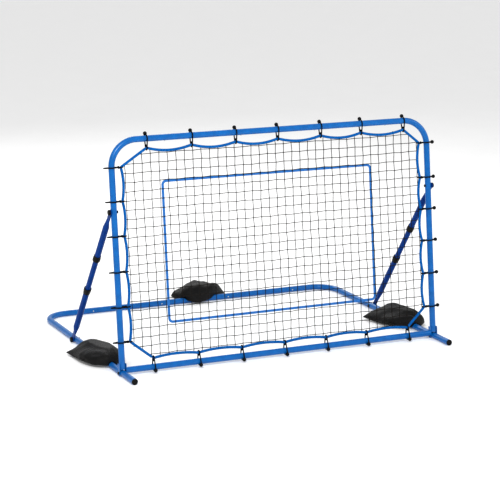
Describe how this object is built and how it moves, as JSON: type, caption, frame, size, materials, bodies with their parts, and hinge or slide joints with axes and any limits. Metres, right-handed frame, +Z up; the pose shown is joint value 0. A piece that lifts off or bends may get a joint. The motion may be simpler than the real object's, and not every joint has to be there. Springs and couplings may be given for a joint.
{
  "type": "football rebounder",
  "caption": "Leaning tube frame with a corded net and target square, braced to a floor frame held down by sandbags, for bouncing a football back.",
  "frame": {"origin": "on the ground, in the middle of the outer box of the whole object", "axes": "+X to the right seen from the playing side, +Y to the rear, +Z up"},
  "size_m": [2.05, 1.673, 1.2147],
  "materials": {
    "blue_tube": "gloss powder coat",
    "zinc_steel": "zinc plated",
    "black_steel": "black oxide",
    "black_plastic": "moulded",
    "black_cord": "braided elastic",
    "blue_rope": "braided",
    "blue_webbing": "woven",
    "black_net": "knotted",
    "bag_fabric": "woven polyester"
  },
  "bodies": {
    "base": {"brace_lower_bolts": "black_steel", "brace_lower_knobs": "black_plastic", "brace_lower_washers": "black_steel", "foot_cap_left": "black_plastic", "foot_cap_right": "black_plastic", "hinge_bolts": "black_steel", "hinge_nuts": "black_steel", "rear_bar_centre": "blue_tube", "rear_bar_left": "blue_tube", "rear_bar_right": "blue_tube", "rear_corner_left": "blue_tube", "rear_corner_right": "blue_tube", "sandbag_left": "bag_fabric", "sandbag_rear": "bag_fabric", "sandbag_right": "bag_fabric", "side_rail_left": "blue_tube", "side_rail_right": "blue_tube"},
    "front_frame": {"bottom_bar_centre": "blue_tube", "bottom_bar_left": "blue_tube", "bottom_bar_right": "blue_tube", "brace_upper_bolts": "black_steel", "brace_upper_knobs": "black_plastic", "brace_upper_washers": "black_steel", "bungee_balls_bottom": "black_plastic", "bungee_balls_left": "black_plastic", "bungee_balls_right": "black_plastic", "bungee_balls_top": "black_plastic", "bungee_loops_bottom": "black_cord", "bungee_loops_left": "black_cord", "bungee_loops_right": "black_cord", "bungee_loops_top": "black_cord", "edge_rope": "blue_rope", "net_panel": "black_net", "post_left": "blue_tube", "post_right": "blue_tube", "target_strap": "blue_webbing", "top_bar_centre": "blue_tube", "top_bar_left": "blue_tube", "top_bar_right": "blue_tube", "top_corner_left": "blue_tube", "top_corner_right": "blue_tube"},
    "left_brace_lower": {"brace_lower_collar_left": "black_plastic", "brace_lower_tube_left": "blue_tube"},
    "left_brace_middle": {"brace_middle_tube_left": "blue_tube"},
    "left_brace_upper": {"brace_upper_collar_left": "black_plastic", "brace_upper_tube_left": "blue_tube"},
    "right_brace_lower": {"brace_lower_collar_right": "black_plastic", "brace_lower_tube_right": "blue_tube"},
    "right_brace_middle": {"brace_middle_tube_right": "blue_tube"},
    "right_brace_upper": {"brace_upper_collar_right": "black_plastic", "brace_upper_tube_right": "blue_tube"},
    "rail_buttons": {"rail_snap_buttons": "zinc_steel"},
    "rear_bar_buttons": {"rear_bar_snap_buttons": "zinc_steel"},
    "post_buttons": {"post_snap_buttons": "zinc_steel"},
    "top_bar_buttons": {"top_bar_snap_buttons": "zinc_steel"},
    "bottom_bar_buttons": {"bottom_bar_snap_buttons": "zinc_steel"}
  },
  "joints": [
    {"name": "frame_tilt", "type": "hinge", "parent": "base", "child": "front_frame", "pos_m": [0, -0.6585, 0.016], "axis": [-1, 0, 0], "range_deg": [-6.46, 13.54]},
    {"name": "left_brace_turn", "type": "hinge", "parent": "base", "child": "left_brace_lower", "pos_m": [0, 0.0525, 0.016], "axis": [-1, 0, 0], "range_deg": [-3.9, 8]},
    {"name": "left_brace_middle_slide", "type": "slide", "parent": "left_brace_lower", "child": "left_brace_middle", "axis": [0, -0.6075, 0.7943], "range_m": [-0.069, 0.033]},
    {"name": "left_brace_upper_slide", "type": "slide", "parent": "left_brace_middle", "child": "left_brace_upper", "axis": [0, -0.6075, 0.7943], "range_m": [-0.069, 0.033]},
    {"name": "right_brace_turn", "type": "hinge", "parent": "base", "child": "right_brace_lower", "pos_m": [0, 0.0525, 0.016], "axis": [-1, 0, 0], "range_deg": [-3.9, 8]},
    {"name": "right_brace_middle_slide", "type": "slide", "parent": "right_brace_lower", "child": "right_brace_middle", "axis": [0, -0.6075, 0.7943], "range_m": [-0.069, 0.033]},
    {"name": "right_brace_upper_slide", "type": "slide", "parent": "right_brace_middle", "child": "right_brace_upper", "axis": [0, -0.6075, 0.7943], "range_m": [-0.069, 0.033]},
    {"name": "rail_button_press", "type": "slide", "parent": "base", "child": "rail_buttons", "axis": [0, 0, -1], "range_m": [0, 0.0046], "stiffness_N_per_m": 1500, "springref_m": -0.004},
    {"name": "rear_bar_button_press", "type": "slide", "parent": "base", "child": "rear_bar_buttons", "axis": [0, 1, 0], "range_m": [0, 0.0046], "stiffness_N_per_m": 1500, "springref_m": -0.004},
    {"name": "post_button_press", "type": "slide", "parent": "front_frame", "child": "post_buttons", "axis": [0, -0.9937, 0.1125], "range_m": [0, 0.0046], "stiffness_N_per_m": 1500, "springref_m": -0.004},
    {"name": "top_bar_button_press", "type": "slide", "parent": "front_frame", "child": "top_bar_buttons", "axis": [0, 0.1125, 0.9937], "range_m": [0, 0.0046], "stiffness_N_per_m": 1500, "springref_m": -0.004},
    {"name": "bottom_bar_button_press", "type": "slide", "parent": "front_frame", "child": "bottom_bar_buttons", "axis": [0, -0.9937, 0.1125], "range_m": [0, 0.0046], "stiffness_N_per_m": 1500, "springref_m": -0.004}
  ],
  "couplings": [
    {"joint": "left_brace_turn", "follows": "frame_tilt", "ratio": 0.5816},
    {"joint": "left_brace_middle_slide", "follows": "frame_tilt", "m_per_rad": -0.28967},
    {"joint": "left_brace_upper_slide", "follows": "frame_tilt", "m_per_rad": -0.28967},
    {"joint": "right_brace_turn", "follows": "frame_tilt", "ratio": 0.5816},
    {"joint": "right_brace_middle_slide", "follows": "frame_tilt", "m_per_rad": -0.28967},
    {"joint": "right_brace_upper_slide", "follows": "frame_tilt", "m_per_rad": -0.28967}
  ]
}
